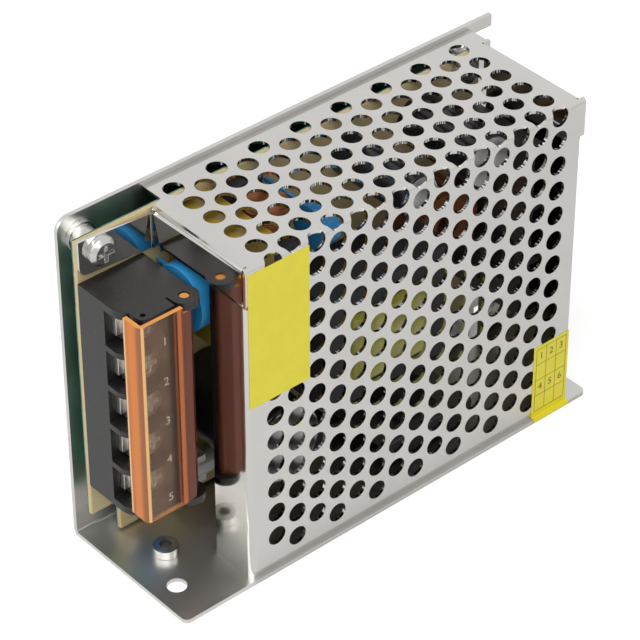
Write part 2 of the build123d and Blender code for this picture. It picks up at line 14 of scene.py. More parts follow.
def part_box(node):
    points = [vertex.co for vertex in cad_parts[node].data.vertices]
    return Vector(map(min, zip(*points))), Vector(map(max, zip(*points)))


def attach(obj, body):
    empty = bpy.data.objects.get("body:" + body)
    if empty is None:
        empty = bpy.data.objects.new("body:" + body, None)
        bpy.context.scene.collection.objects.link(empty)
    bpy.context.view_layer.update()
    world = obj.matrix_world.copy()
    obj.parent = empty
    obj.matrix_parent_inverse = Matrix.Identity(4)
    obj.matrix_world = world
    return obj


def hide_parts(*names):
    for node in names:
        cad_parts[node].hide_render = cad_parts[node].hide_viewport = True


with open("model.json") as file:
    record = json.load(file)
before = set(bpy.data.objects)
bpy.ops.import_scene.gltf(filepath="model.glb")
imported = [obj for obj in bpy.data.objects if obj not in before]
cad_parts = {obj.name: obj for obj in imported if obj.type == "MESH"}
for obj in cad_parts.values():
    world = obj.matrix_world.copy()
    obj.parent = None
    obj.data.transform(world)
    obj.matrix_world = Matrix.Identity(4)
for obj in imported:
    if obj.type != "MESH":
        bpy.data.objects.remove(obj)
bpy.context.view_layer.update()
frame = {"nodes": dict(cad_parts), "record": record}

bl_info = {
    "name": "Switching supply dresser",
    "version": (1, 0, 0),
    "blender": (4, 5, 0),
    "location": "View3D > Sidebar > Supply",
    "description": "Dresses the packed frame of an open switching power supply",
    "category": "Object",
}

MM = 0.001
# The drawing's corner at the terminal end, in the frame's millimetres
CORNER = Vector((-56.0, -17.95, 0.0))
# Slack for points that lie on a line of the blank, in millimetres
HAIR = 0.0001
# How near two points are one, and how steep two flats or an edge are
ONE_POINT = 0.002
ONE_FLAT = math.radians(1.0)
AN_EDGE = math.radians(30.0)
LAMP_AIM = Vector((0.0, 0.0, 0.03))
# Place and width of each lamp, and the setting with its power
LAMPS = {
    "key_lamp": ((-0.35, -0.35, 0.75), 0.7, "key_power"),
    "fill_lamp": ((-0.7, 0.25, 0.45), 0.6, "fill_power"),
}


def size_box(node):
    """Low and high corners of a node in the drawing's millimetres."""
    low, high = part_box(node)
    return Vector(low) / MM - CORNER, Vector(high) / MM - CORNER


COVER_LOW, COVER_HIGH = size_box("perforated_cover")
BOARD_LOW, BOARD_HIGH = size_box("circuit_board")
GUARD_LOW = size_box("terminal_guard")[0]


def length(name, description, millimetres):
    """A length property, given in millimetres and kept in metres."""
    return FloatProperty(
        name=name, description=description, default=millimetres * MM, min=0.0, precision=5, unit="LENGTH"
    )


def count(name, description, default):
    """A whole number of one or more."""
    return IntProperty(name=name, description=description, default=default, min=1)


def colour(name, description, default):
    """A colour property."""
    return FloatVectorProperty(
        name=name, description=description, default=default, size=3, min=0.0, max=1.0, subtype="COLOR"
    )


def drawing_sizes(group):
    """The lengths of a group in the drawing's millimetres, and its counts as they are."""
    values = {name: getattr(group, name) for name in group.__annotations__}
    return SimpleNamespace(**{n: v / MM if isinstance(v, float) else v for n, v in values.items()})


class SheetSizes(bpy.types.PropertyGroup):
    """Sizes of the folded cover."""

    cover_sheet: length("Cover sheet", "Thickness of the perforated sheet", 0.7)
    cover_bend: length("Cover bend", "Inside radius of the cover's folds", 0.4)
    cover_front: length("Cover front", "Distance of the cover from the terminal end", 17.5)
    hole_diameter: length("Hole diameter", "Diameter of a perforation", 4.3)
    hole_pitch: length("Hole pitch", "Distance between neighbouring perforations", 6.12)
    hole_margin: length("Hole margin", "Least distance of a perforation from the rear and back edges", 3.9)
    first_hole_x: length("First column", "Place of the first column of holes", 24.3)
    first_hole_z: length("First row", "Height of the lowest hole of a full column", 8.7)
    first_hole_y: length("First row on top", "Depth of the first whole hole on the top face", 5.9)
    front_flange: length("Front flange", "Depth of the cover's front flange", 10.75)
    rear_flange: length("Rear flange", "Depth of the cover's rear flange", 27.0)
    corner_tab: length("Corner tab", "Depth of the tabs under the top face", 8.4)
    corner_drop: length("Corner drop", "Height of the tabs under the top face", 8.7)
    slit_place: length("Corner slit", "Distance of the corner slit behind the broad face", 0.45)
    slit_width: length("Slit width", "Width of the slits between flanges and tabs", 0.2)
    slit_hole: length("Slit hole", "Diameter of the hole at the end of the corner slit", 1.1)
    slit_hole_place: length("Slit hole place", "Distance of that hole behind the front edge", 0.65)
    board_notch: length("Board notch", "Length cut from the front edge where the board passes", 2.9)
    rear_lip: length("Rear lip", "How far the edges pass the rear flange", 0.6)
    ear_width: length("Ear width", "Height of the screw ear", 7.9)
    ear_drop: length("Ear drop", "Depth of the ear's outer corner under the top face", 0.5)
    ear_slant: length("Ear slant", "How much lower the ear is at its fold", 1.2)
    ear_root: length("Ear root", "Depth of the step under the ear's root", 3.0)
    ear_corner: length("Ear corner", "Radius of the ear's lower corner", 1.9)
    ear_gap: length("Ear gap", "Distance of the ear from the terminal end", 0.2)
    ear_hole: length("Ear hole", "Diameter of the ear's screw hole", 3.4)
    ear_hole_drop: length("Ear hole drop", "Depth of the screw hole under the top face", 4.0)
    ear_hole_inset: length("Ear hole inset", "Distance of the screw hole from the ear's end", 4.8)
    edge_break: length("Edge break", "Rounding of the punched edges", 0.07)
    hole_points: count("Hole points", "Points round a perforation", 28)


class TerminalSizes(bpy.types.PropertyGroup):
    """Sizes at the terminals."""

    pitch: length("Pitch", "Distance between the terminals", 9.5)
    first_way: length("First way", "Height of the lowest terminal", 22.9)
    guard_wall: length("Guard wall", "Thickness of the clear guard", 1.0)
    rail_front: length("Rail front", "Where the guard's rail begins behind its window", 9.5)
    strip_middle: length("Strip middle", "Depth of the bright line along the guard's front strip", 2.7)
    digit_height: length("Digit height", "Height of the guard's moulded numbers", 1.9)
    digit_place: length("Digit place", "Distance of the numbers from the terminal end", 5.9)
    digit_lift: length("Digit lift", "Height of the numbers over the window", 0.02)
    ways: count("Ways", "Number of terminals", 5)


class LabelSizes(bpy.types.PropertyGroup):
    """Print on the rear sticker."""

    margin: length("Margin", "Distance of the grid from the sticker's edges", 0.8)
    lap: length("Lap", "Height of the grid over the sticker's lower edge", 2.2)
    line: length("Line", "Width of a printed line", 0.12)
    lift: length("Lift", "Height of the print over the broad face", 0.11)
    digit_height: length("Digit height", "Height of a printed digit", 1.7)
    columns: count("Columns", "Columns of the grid", 3)
    rows: count("Rows", "Rows of the grid, each with a digit over a blank", 2)


class Finishes(bpy.types.PropertyGroup):
    """Colours of the finishes."""

    tin: colour("Tinned sheet", "Reflected colour of the tinned sheet", (0.76, 0.745, 0.72))
    nickel: colour("Screw plate", "Reflected colour of the plated fixings", (0.66, 0.65, 0.63))
    screw_head: colour("Screw heads", "Reflected colour of the terminal screws", (0.96, 0.90, 0.80))
    contact: colour("Contact tin", "Reflected colour of the contacts and clamps", (0.92, 0.90, 0.85))
    aluminium: colour("Heat sinks", "Reflected colour of the heat sinks", (0.34, 0.35, 0.36))
    can_top: colour("Can top", "Reflected colour of the capacitors' tops", (0.70, 0.70, 0.71))
    moulding: colour("Moulding", "Colour of the terminal block", (0.021, 0.020, 0.0195))
    package: colour("Packages", "Colour of the semiconductors' packages", (0.022, 0.022, 0.024))
    board: colour("Board", "Colour of the board's component face", (0.62, 0.50, 0.27))
    mask: colour("Solder mask", "Colour of the board's soldered face", (0.026, 0.12, 0.078))
    sticker: colour("Sticker", "Colour of the yellow stickers", (0.86, 0.75, 0.035))
    ink: colour("Ink", "Colour of printed lines and digits", (0.10, 0.07, 0.02))
    pale_print: colour("Moulded numbers", "Colour of the guard's numbers", (0.50, 0.44, 0.30))
    tape: colour("Winding tape", "Colour of the transformer's tape", (0.62, 0.60, 0.10))
    film: colour("Film capacitor", "Colour of the film capacitor's case", (0.74, 0.50, 0.06))
    sleeve: colour("Sleeve", "Colour of the capacitors' sleeves", (0.018, 0.02, 0.025))
    epoxy_blue: colour("Blue epoxy", "Colour of the disc parts", (0.006, 0.06, 0.18))
    ferrite: colour("Ferrite", "Colour of the cores", (0.03, 0.03, 0.032))
    copper: colour("Winding wire", "Colour of the enamelled wire", (0.42, 0.15, 0.05))
    resistor: colour("Resistors", "Colour of the resistors", (0.10, 0.26, 0.36))
    fuse: colour("Fuse", "Colour of the fuse's tube", (0.62, 0.62, 0.60))
    trimmer: colour("Trimmer", "Colour of the trimmer's body", (0.02, 0.09, 0.32))
    rotor: colour("Rotor", "Colour of the trimmer's rotor", (0.75, 0.75, 0.72))
    lamp: colour("Pilot lamp", "Colour of the pilot lamp", (0.12, 0.62, 0.22))


class GuardTones(bpy.types.PropertyGroup):
    """Colours that the light gives to the zones of the clear amber guard."""

    window: colour("Window", "Hazy window over the terminals", (0.31, 0.19, 0.12))
    window_pale: colour("Pale window", "Lighter clouds in the window", (0.40, 0.255, 0.165))
    band: colour("Band", "Darker band before the ridge", (0.15, 0.075, 0.045))
    strip: colour("Strip", "Front strip", (0.50, 0.14, 0.02))
    strip_pale: colour("Pale strip", "Lighter streaks of the front strip", (0.58, 0.19, 0.035))
    strip_line: colour("Strip line", "Glowing line along the front strip", (0.72, 0.20, 0.006))
    strip_shade: colour("Strip shade", "Brown side of the front strip", (0.36, 0.12, 0.04))
    strip_edge: colour("Strip edge", "Bright outer edge of the front strip", (0.98, 0.60, 0.28))
    brim: colour("Brim", "Bright line at the fold", (0.95, 0.58, 0.24))
    ridge: colour("Ridge", "Glowing ridge at the window's end", (0.55, 0.13, 0.022))
    behind: colour("Rail", "Red-brown rail behind the ridge", (0.17, 0.042, 0.02))
    ends: colour("Ends", "Cut ends of the moulding", (0.85, 0.34, 0.06))


class StageSizes(bpy.types.PropertyGroup):
    """Camera, floor and lamps."""

    lens: FloatProperty(
        name="Lens", description="Focal length on a 36 mm sensor", default=169.247, unit="CAMERA"
    )
    eye: FloatVectorProperty(
        name="Eye", description="Place of the camera", default=(-0.317553, -0.360341, 0.404736),
        precision=6, subtype="TRANSLATION",
    )
    turn: FloatVectorProperty(
        name="Turn", description="Angles of the camera", precision=5, subtype="EULER",
        default=[math.radians(angle) for angle in (52.53403, 0.09501, -40.94635)],
    )
    floor_shade: FloatProperty(
        name="Floor shade", description="Brightness of the floor's paint", default=0.86, subtype="FACTOR"
    )
    floor_lift: FloatProperty(
        name="Floor lift", description="Light that only the camera sees on the floor", default=0.45
    )
    key_power: FloatProperty(
        name="Key lamp", description="Power of the soft main lamp", default=4.2, unit="POWER"
    )
    fill_power: FloatProperty(
        name="Fill lamp", description="Power of the soft second lamp", default=1.6, unit="POWER"
    )
    sky: FloatProperty(name="Sky", description="Strength of the pale surroundings", default=0.46)
    seen: FloatProperty(
        name="Seen sky", description="Strength of the surroundings in reflections", default=0.80
    )


def finishes():
    return bpy.context.scene.supply_finishes


def dim(tone, share):
    """A darker or lighter shade of a colour."""
    return [part * share for part in tone]


class Wire:
    """A shader socket that takes part in Python expressions by adding Math nodes."""

    def __init__(self, recipe, socket):
        self.recipe = recipe
        self.socket = socket

    def maths(self, operation, *others):
        """A Math node on this value and the others."""
        values = dict(enumerate((self, *others)))
        return self.recipe.add("ShaderNodeMath", {"operation": operation}, values)

    def __add__(self, other):
        return self.maths("ADD", other)

    __radd__ = __add__

    def __sub__(self, other):
        return self.maths("SUBTRACT", other)

    def __rsub__(self, other):
        return self.recipe.add("ShaderNodeMath", {"operation": "SUBTRACT"}, {0: other, 1: self})

    def __mul__(self, other):
        return self.maths("MULTIPLY", other)

    __rmul__ = __mul__

    def __truediv__(self, other):
        return self.maths("DIVIDE", other)

    def __gt__(self, other):
        return self.maths("GREATER_THAN", other)

    def __lt__(self, other):
        return self.maths("LESS_THAN", other)

    def between(self, low, high):
        """This value mapped from low..high to 0..1, clamped and eased."""
        settings = {"interpolation_type": "SMOOTHSTEP"}
        sockets = {"Value": self, "From Min": low, "From Max": high}
        return self.recipe.add("ShaderNodeMapRange", settings, sockets)


class Recipe:
    """The node tree of a material or a world, and a plain way to add nodes to it."""

    def __init__(self, owner):
        owner.use_nodes = True
        self.owner = owner
        self.tree = owner.node_tree
        self.tree.nodes.clear()

    def add(self, kind, settings=None, sockets=None, out=0):
        """Adds a node with its settings, then the values or links of its sockets."""
        node = self.tree.nodes.new(kind)
        for key, value in (settings or {}).items():
            if key == "stops":
                ramp = node.color_ramp.elements
                while len(ramp) < len(value):
                    ramp.new(1.0)
                for stop, (place, shade) in zip(ramp, value):
                    stop.position = place
                    stop.color = (*shade, 1.0)
            else:
                setattr(node, key, value)
        for key, value in (sockets or {}).items():
            self.feed(node.inputs[key], value)
        return Wire(self, node.outputs[out]) if node.outputs else None

    def feed(self, socket, value):
        """Sets a socket to a number or colour, or links it to a wire."""
        if isinstance(value, Wire):
            self.tree.links.new(value.socket, socket)
        elif hasattr(socket.default_value, "__len__") and len(socket.default_value) == 4:
            socket.default_value = (*tuple(value)[:3], 1.0)
        else:
            socket.default_value = value

    def mix(self, factor, first, second):
        """Colour between the first and the second."""
        settings = {"data_type": "RGBA", "clamp_factor": True}
        return self.add("ShaderNodeMix", settings, {0: factor, 6: first, 7: second}, out=2)

    def place(self, kind="Object"):
        """Coordinates of the surface in metres."""
        names = ("Generated", "Normal", "UV", "Object")
        return self.add("ShaderNodeTexCoord", out=names.index(kind))

    def part(self, vector, axis):
        """One coordinate of a vector."""
        return self.add("ShaderNodeSeparateXYZ", {}, {0: vector}, "XYZ".index(axis))

    def stretched(self, scale, turn=(0, 0, 0)):
        """Object coordinates scaled per axis."""
        sockets = {"Vector": self.place(), "Scale": scale, "Rotation": turn}
        return self.add("ShaderNodeMapping", {}, sockets)

    def noise(self, scale, detail=3.0, rough=0.5, vector=None, out=0):
        """Cloudy noise at a number of cells per metre."""
        sockets = {"Vector": vector or self.place(), "Scale": scale, "Detail": detail, "Roughness": rough}
        return self.add("ShaderNodeTexNoise", {}, sockets, out)

    def drawn(self, axis):
        """One coordinate of the surface in the drawing's millimetres."""
        return self.part(self.place(), axis) * (1 / MM) - CORNER["XYZ".index(axis)]

    def shelter(self, reach=18.0, least=0.2):
        """Painted shade: 1 on open surfaces, falling to the least value deep between others, where colours
        are darkened.
        """
        sockets = {"Distance": reach * MM}
        unshaded_share = self.add("ShaderNodeAmbientOcclusion", {"samples": 8}, sockets, out=1)
        return unshaded_share.between(0.05, 0.75) * (1.0 - least) + least

    def bump(self, height, depth, strength=1.0):
        """Normal from a height, as deep as depth in metres."""
        return self.add("ShaderNodeBump", {}, {"Height": height, "Distance": depth, "Strength": strength})

    def surface(self, **sockets):
        """The main shader and the output."""
        names = {key.replace("_", " "): value for key, value in sockets.items()}
        shader = self.add("ShaderNodeBsdfPrincipled", {}, names)
        self.add("ShaderNodeOutputMaterial", {}, {"Surface": shader})


def tinned_sheet(made, tone, rough, along=(1.0, 1.0, 1.0), painted_shade_from=0.0):
    """Bright tinned sheet: faint rolling lines, cloudy gloss, a slight waviness, and painted shade that
    darkens it inside the box.
    """
    # Painted shade: the colour falls to near black where other parts close round the sheet.
    unshaded_share = made.shelter()
    # The painted shade is kept off the sheet in front of the given place along X and fades in over the next
    # 4 mm.
    if painted_shade_from:
        in_front = made.drawn("X").between(painted_shade_from + 4.0, painted_shade_from)
        unshaded_share = unshaded_share.maths("MAXIMUM", in_front)
    cloud = made.noise(70.0, 3.0)
    lines = made.noise(900.0, 2.0, vector=made.stretched(along))
    fine = made.noise(2600.0, 2.0)
    shade = made.mix(cloud.between(0.35, 0.7), dim(tone, 0.95), tone)
    made.surface(
        Base_Color=made.mix(unshaded_share, dim(tone, 0.04), shade),
        Metallic=1.0,
        Roughness=rough * 0.75 + cloud * rough * 0.35 + lines * rough * 0.2,
        Normal=made.bump(made.noise(24.0, 2.0) + lines * 0.02 + fine * 0.01, 0.0002, 0.2),
    )


def plated(made, tone, rough=0.16):
    """Bright plating with fine handling marks and painted shade in its recesses."""
    marks = made.noise(1400.0, 4.0)
    # Real handling marks and painted shade in recesses both darken the colour.
    clean_and_unshaded = made.shelter(5.0, 0.75) * marks.between(0.2, 0.45)
    made.surface(
        Base_Color=made.mix(clean_and_unshaded, dim(tone, 0.6), tone),
        Metallic=1.0,
        Roughness=marks * 0.14 + rough,
        Normal=made.bump(marks, 0.00004, 0.3),
    )


def moulded(made, tone, rough=0.42, grain=2400.0, depth=0.00003, fleck=0.0):
    """Moulded plastic or resin with a fine grain, slightly uneven gloss and painted shade in recesses and
    between parts.
    """
    cloud = made.noise(160.0, 3.0)
    fine = made.noise(grain, 3.0)
    shade = made.mix(cloud.between(0.3, 0.75), dim(tone, 0.82), tone)
    if fleck:
        dust = made.noise(5200.0, 1.0).between(0.70, 0.76)
        shade = made.mix(dust * fleck, shade, (0.5, 0.5, 0.48))
    made.surface(
        # Painted shade: the colour darkens in recesses and between parts.
        Base_Color=made.mix(made.shelter(14.0, 0.25), dim(tone, 0.1), shade),
        Roughness=cloud * 0.14 + (rough - 0.07),
        Normal=made.bump(fine, depth, 0.5),
    )


def ferrite_stone(made, tone):
    """Pressed ferrite: dull, slightly sparkling and pitted."""
    pits = made.noise(3400.0, 4.0)
    shade = made.mix(pits.between(0.45, 0.7), tone, dim(tone, 2.4))
    made.surface(Base_Color=shade, Roughness=pits * 0.3 + 0.35, Normal=made.bump(pits, 0.00006, 0.6))


def wound_tape(made, tone):
    """Layers of clear yellow tape with fine edges round a winding."""
    layer = made.part(made.place(), "Y")
    edge = (layer * 2100.0).maths("FRACT").between(0.0, 0.12)
    cloud = made.noise(240.0, 3.0)
    shade = made.mix(cloud.between(0.3, 0.7), dim(tone, 0.72), tone)
    made.surface(
        Base_Color=made.mix(edge, dim(tone, 0.6), shade),
        Roughness=cloud * 0.16 + 0.16,
        Coat_Weight=0.4,
        Normal=made.bump(edge + cloud * 0.6, 0.00007, 0.5),
    )


def copper_wire(made, tone):
    """Rows of enamelled wire, with painted shade in the grooves between turns."""
    turn = (made.part(made.place(), "Z") * 2200.0).maths("FRACT")
    valley = turn.maths("PINGPONG", 0.5) * 2.0
    # Painted shade in the grooves between turns.
    shade = made.mix(valley.between(0.0, 0.5), dim(tone, 0.25), tone)
    made.surface(Base_Color=shade, Metallic=0.6, Roughness=0.28, Normal=made.bump(valley, 0.0002, 0.9))


def phenolic_board(made, tone, mask):
    """Cream board face with fibres, a green mask on the soldered face."""
    depth = made.part(made.place(), "Y")
    back = depth > (BOARD_HIGH.y + CORNER.y - 0.4) * MM
    fibre = made.noise(1800.0, 4.0, vector=made.stretched((1.0, 1.0, 6.0)))
    cream = made.mix(fibre.between(0.3, 0.7), dim(tone, 0.86), tone)
    track = made.noise(260.0, 1.0).between(0.48, 0.5)
    green = made.mix(track, mask, dim(mask, 2.0))
    made.surface(
        Base_Color=made.mix(back, cream, green),
        Roughness=fibre * 0.2 + 0.35 - back * 0.25,
        Normal=made.bump(fibre, 0.00004, 0.5),
    )


def clear_amber(made):
    """Clear amber moulding: hazy grey-brown window, glowing orange where light runs along its walls."""
    tones = bpy.context.scene.supply_guard
    sizes = drawing_sizes(bpy.context.scene.supply_terminals)
    front, rail, wall = GUARD_LOW.x, sizes.rail_front, sizes.guard_wall
    across = made.drawn("X")
    ripple = made.noise(300.0, 2.0)
    streak = made.noise(1500.0, 1.0, vector=made.stretched((1.0, 1.0, 0.04)))
    strip = 1.0 - across.between(front + wall * 0.9, front + wall * 1.3)
    brim = (across - (front + wall * 0.75)).maths("ABSOLUTE").between(0.35, 0.18)
    ridge = (across - rail).maths("ABSOLUTE").between(0.75, 0.35)
    behind = across.between(rail + 0.3, rail + 0.8)
    ends = made.part(made.place("Normal"), "Z").maths("ABSOLUTE").between(0.4, 0.7)
    window = made.mix(made.noise(160.0, 2.0).between(0.4, 0.6), tones.window, tones.window_pale)
    window = made.mix(across.between(rail - 3.0, rail - 2.2), window, tones.band)
    deep = made.drawn("Y") - GUARD_LOW.y
    middle = (deep - sizes.strip_middle).maths("ABSOLUTE")
    glow = made.mix(streak.between(0.25, 0.75), tones.strip, tones.strip_pale)
    glow = made.mix(middle.between(1.4, 0.5), glow, tones.strip_line)
    glow = made.mix(deep.between(1.7, 0.9), glow, tones.strip_shade)
    glow = made.mix(deep.between(4.4, 4.8), glow, tones.strip_edge)
    tint = made.mix(behind, window, tones.behind)
    tint = made.mix(ridge, tint, tones.ridge)
    tint = made.mix(strip, tint, glow)
    tint = made.mix(brim * 0.9, tint, tones.brim)
    tint = made.mix(ends * 0.9, tint, tones.ends)
    solid = strip.maths("MAXIMUM", ridge).maths("MAXIMUM", ends).maths("MAXIMUM", behind)
    made.surface(
        Base_Color=tint,
        Roughness=ripple * 0.15 + 0.1,
        Alpha=solid * 0.68 + 0.27,
        Normal=made.bump(ripple, 0.0001, 0.35),
    )


def sticker_film(made, tone):
    """Glossy printed yellow film."""
    cloud = made.noise(320.0, 2.0)
    made.surface(
        Base_Color=made.mix(cloud.between(0.3, 0.8), dim(tone, 0.95), tone),
        Roughness=cloud * 0.12 + 0.26,
        Normal=made.bump(made.noise(90.0, 2.0), 0.0001, 0.25),
    )


def clear_lens(made, tone):
    """Tinted diffused lens."""
    cloud = made.noise(500.0, 2.0)
    shade = made.mix(cloud, dim(tone, 0.8), tone)
    made.surface(Base_Color=shade, Roughness=cloud * 0.1 + 0.15, Transmission_Weight=0.5, IOR=1.5)


# Maker of each finish, its colours by name, then its gloss and grain, and for the sheets the place along X
# where their painted shade begins
FINISH_MAKERS = {
    "tin_cover": (tinned_sheet, "tin", 0.10, (1.0, 1.0, 12.0), 18.2),
    "tin_plate": (tinned_sheet, "tin", 0.36, (12.0, 1.0, 1.0), 17.0),
    "mill_aluminium": (tinned_sheet, "aluminium", 0.45, (1.0, 10.0, 1.0)),
    "can_top": (tinned_sheet, "can_top", 0.28),
    "nickel": (plated, "nickel"),
    "screw_head": (plated, "screw_head", 0.30),
    "contact_tin": (plated, "contact", 0.26),
    "block_resin": (moulded, "moulding", 0.38, 2600.0, 0.00003, 0.35),
    "package_resin": (moulded, "package", 0.5),
    "ink": (moulded, "ink", 0.5),
    "pale_print": (moulded, "pale_print", 0.3),
    "film_case": (moulded, "film", 0.30, 900.0),
    "sleeve": (moulded, "sleeve", 0.22, 700.0, 0.00002),
    "blue_epoxy": (moulded, "epoxy_blue", 0.18, 500.0, 0.00008),
    "resistor": (moulded, "resistor", 0.3),
    "fuse_body": (moulded, "fuse", 0.16, 700.0),
    "trimmer_blue": (moulded, "trimmer", 0.4),
    "trimmer_white": (moulded, "rotor", 0.45),
    "amber": (clear_amber,),
    "board": (phenolic_board, "board", "mask"),
    "sticker": (sticker_film, "sticker"),
    "tape": (wound_tape, "tape"),
    "ferrite": (ferrite_stone, "ferrite"),
    "wire": (copper_wire, "copper"),
    "lamp_green": (clear_lens, "lamp"),
}


def finish(name):
    """The finish of that name, made when it is first asked for."""
    if name not in bpy.data.materials:
        maker, *details = FINISH_MAKERS[name]
        looks = [getattr(finishes(), part) if isinstance(part, str) else part for part in details]
        maker(Recipe(bpy.data.materials.new(name)), *looks)
    return bpy.data.materials[name]


def paint(thing, *names):
    """Gives an object its finishes in slot order."""
    thing.data.materials.clear()
    for name in names:
        thing.data.materials.append(finish(name))


def shade_by_angle(mesh, degrees=35.0):
    """Smooth shading, sharp at edges steeper than the angle."""
    mesh.polygons.foreach_set("use_smooth", [True] * len(mesh.polygons))
    mesh.set_sharp_from_angle(angle=math.radians(degrees))


def add_piece(name, bm, body, finish_names, degrees=35.0):
    """Turns a bmesh in drawing millimetres into a finished piece that rides on a body."""
    bm.transform(Matrix.Scale(MM, 4) @ Matrix.Translation(CORNER))
    mesh = bpy.data.meshes.new(name)
    bm.to_mesh(mesh)
    bm.free()
    thing = bpy.data.objects.new(name, mesh)
    bpy.context.scene.collection.objects.link(thing)
    shade_by_angle(mesh, degrees)
    paint(thing, *finish_names)
    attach(thing, body)
    return thing


def weigh_normals(thing):
    """Lets the large faces rule the shading."""
    modifier = thing.modifiers.new("even_shading", "WEIGHTED_NORMAL")
    modifier.keep_sharp = True


def body_of_node(node):
    """The body that a CAD node belongs to."""
    groups = frame["record"]["behaviour"]["bodies"]
    return next(body for body, nodes in groups.items() if node in nodes)


def softened(node, width, *finish_names, segments=2):
    """Copy of a CAD node with its flats merged and its edges rounded, which stands for that node."""
    source = frame["nodes"][node]
    bm = bmesh.new()
    bm.from_mesh(source.data)
    bm.transform(Matrix.Translation(-CORNER) @ Matrix.Scale(1 / MM, 4))
    bmesh.ops.remove_doubles(bm, verts=bm.verts, dist=ONE_POINT)
    bmesh.ops.dissolve_limit(bm, angle_limit=ONE_FLAT, verts=bm.verts, edges=bm.edges)
    sharp = [e for e in bm.edges if len(e.link_faces) == 2 and e.calc_face_angle(0.0) > AN_EDGE]
    bmesh.ops.bevel(
        bm, geom=sharp, offset=width, segments=segments, profile=0.6, affect="EDGES", clamp_overlap=True
    )
    thing = add_piece(f"{node}_dressed", bm, body_of_node(node), finish_names)
    weigh_normals(thing)
    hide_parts(node)
    return thing


def add_words(bm, words, height, place):
    """Adds flat text that faces the broad side, centred on a place of the drawing."""
    curve = bpy.data.curves.new("words", "FONT")
    curve.body = words
    curve.size = height / 0.7
    curve.align_x = "CENTER"
    curve.align_y = "CENTER"
    curve.resolution_u = 3
    holder = bpy.data.objects.new("words", curve)
    bpy.context.scene.collection.objects.link(holder)
    mesh = bpy.data.meshes.new_from_object(holder)
    mesh.transform(Matrix.Translation(place) @ Matrix.Rotation(math.radians(90), 4, "X"))
    bm.from_mesh(mesh)
    bpy.data.objects.remove(holder)
    bpy.data.curves.remove(curve)
    bpy.data.meshes.remove(mesh)


def add_rule(bm, across, near, up):
    """Adds a thin printed line that faces the broad side."""
    corners = ((across[0], up[0]), (across[1], up[0]), (across[1], up[1]), (across[0], up[1]))
    bm.faces.new([bm.verts.new((x, near, z)) for x, z in corners])


def circle(x, y, radius, points):
    """Points of a circle in a flat drawing."""
    angles = [2 * math.pi * i / points for i in range(points)]
    return [(x + radius * math.cos(angle), y + radius * math.sin(angle)) for angle in angles]


def rounded(corners, radii, steps=5):
    """Outline with some of its corners rounded; a radius of 0 leaves a corner sharp."""
    outline = []
    count = len(corners)
    for index, (corner, radius) in enumerate(zip(corners, radii)):
        here = Vector(corner)
        if not radius:
            outline.append(tuple(here))
            continue
        before = (Vector(corners[index - 1]) - here).normalized()
        after = (Vector(corners[(index + 1) % count]) - here).normalized()
        half = before.angle(after) / 2
        reach = radius / math.tan(half)
        centre = here + (before + after).normalized() * radius / math.sin(half)
        start = here + before * reach - centre
        end = here + after * reach - centre
        turn = start.angle_signed(end)
        for step in range(steps + 1):
            outline.append(tuple(centre + Matrix.Rotation(-turn * step / steps, 2) @ start))
    return outline


def inside(point, outline):
    """Whether a flat point lies within an outline."""
    x, y = point
    odd = False
    for (ax, ay), (bx, by) in zip(outline, outline[1:] + outline[:1]):
        if (ay > y) != (by > y) and x < ax + (bx - ax) * (y - ay) / (by - ay):
            odd = not odd
    return odd


def punched_blank(outline, holes, lines=()):
    """Flat sheet as a bmesh in X and Y, cut by an outline and holes and scored along lines."""
    points = []
    edges = []
    for loop in [outline, *holes]:
        start = len(points)
        points.extend(loop)
        edges.extend((start + i, start + (i + 1) % len(loop)) for i in range(len(loop)))
    for first, last in lines:
        edges.append((len(points), len(points) + 1))
        points.extend((first, last))
    made = delaunay_2d_cdt([Vector(p) for p in points], edges, [], 0, 1e-5)
    bm = bmesh.new()
    verts = [bm.verts.new((x, y, 0.0)) for x, y in made[0]]
    boxes = []
    for hole in holes:
        xs, ys = [p[0] for p in hole], [p[1] for p in hole]
        boxes.append((min(xs), max(xs), min(ys), max(ys), hole))
    for corners in made[2]:
        centre = sum((made[0][i] for i in corners), Vector((0, 0))) / 3
        if not inside(centre, outline):
            continue
        near = [b[4] for b in boxes if b[0] < centre.x < b[1] and b[2] < centre.y < b[3]]
        if not any(inside(centre, hole) for hole in near):
            bm.faces.new([verts[i] for i in corners])
    loose = [v for v in bm.verts if not v.link_faces]
    bmesh.ops.delete(bm, geom=loose, context="VERTS")
    bmesh.ops.recalc_face_normals(bm, faces=bm.faces)
    return bm


def thicken(bm, thickness):
    """Gives a flat blank its thickness towards +Z."""
    faces = list(bm.faces)
    if faces and faces[0].normal.z > 0:
        bmesh.ops.reverse_faces(bm, faces=faces)
    grown = bmesh.ops.extrude_face_region(bm, geom=faces, use_keep_orig=True)["geom"]
    for part in grown:
        if isinstance(part, bmesh.types.BMVert):
            part.co.z += thickness
    bmesh.ops.recalc_face_normals(bm, faces=bm.faces)


def arc_reach(radius, thickness):
    """Length of a right-angle fold along the middle of the sheet."""
    return math.pi / 2 * (radius + thickness / 2)


def score_lines(place, reach, low, high, vertical, steps=6):
    """Score lines across a blank for a fold of that reach."""
    lines = []
    for step in range(steps + 1):
        where = place + reach * step / steps
        ends = ((where, low), (where, high)) if vertical else ((low, where), (high, where))
        lines.append(ends)
    return lines


def fold(points, axis, place, sign, radius, thickness, towards=1, rigid=False):
    """Folds the points that lie beyond a line by a right angle, towards +Z or towards -Z.

    The blank lies at z from 0 to its thickness. axis is 0 or 1, the flat direction across the line. A rigid
    group turns as it is, without an arc at the line.
    """
    outer = radius + thickness
    reach = arc_reach(radius, thickness)
    for point in points:
        beyond = (point[axis] - place) * sign
        if beyond <= 1e-6:
            continue
        height = point.z if towards > 0 else thickness - point.z
        arm = outer - height
        if beyond < reach and not rigid:
            angle = beyond / reach * math.pi / 2
            along, up = arm * math.sin(angle), outer - arm * math.cos(angle)
        else:
            along, up = arm, outer + beyond - reach
        point[axis] = place + sign * along
        point.z = up if towards > 0 else thickness - up


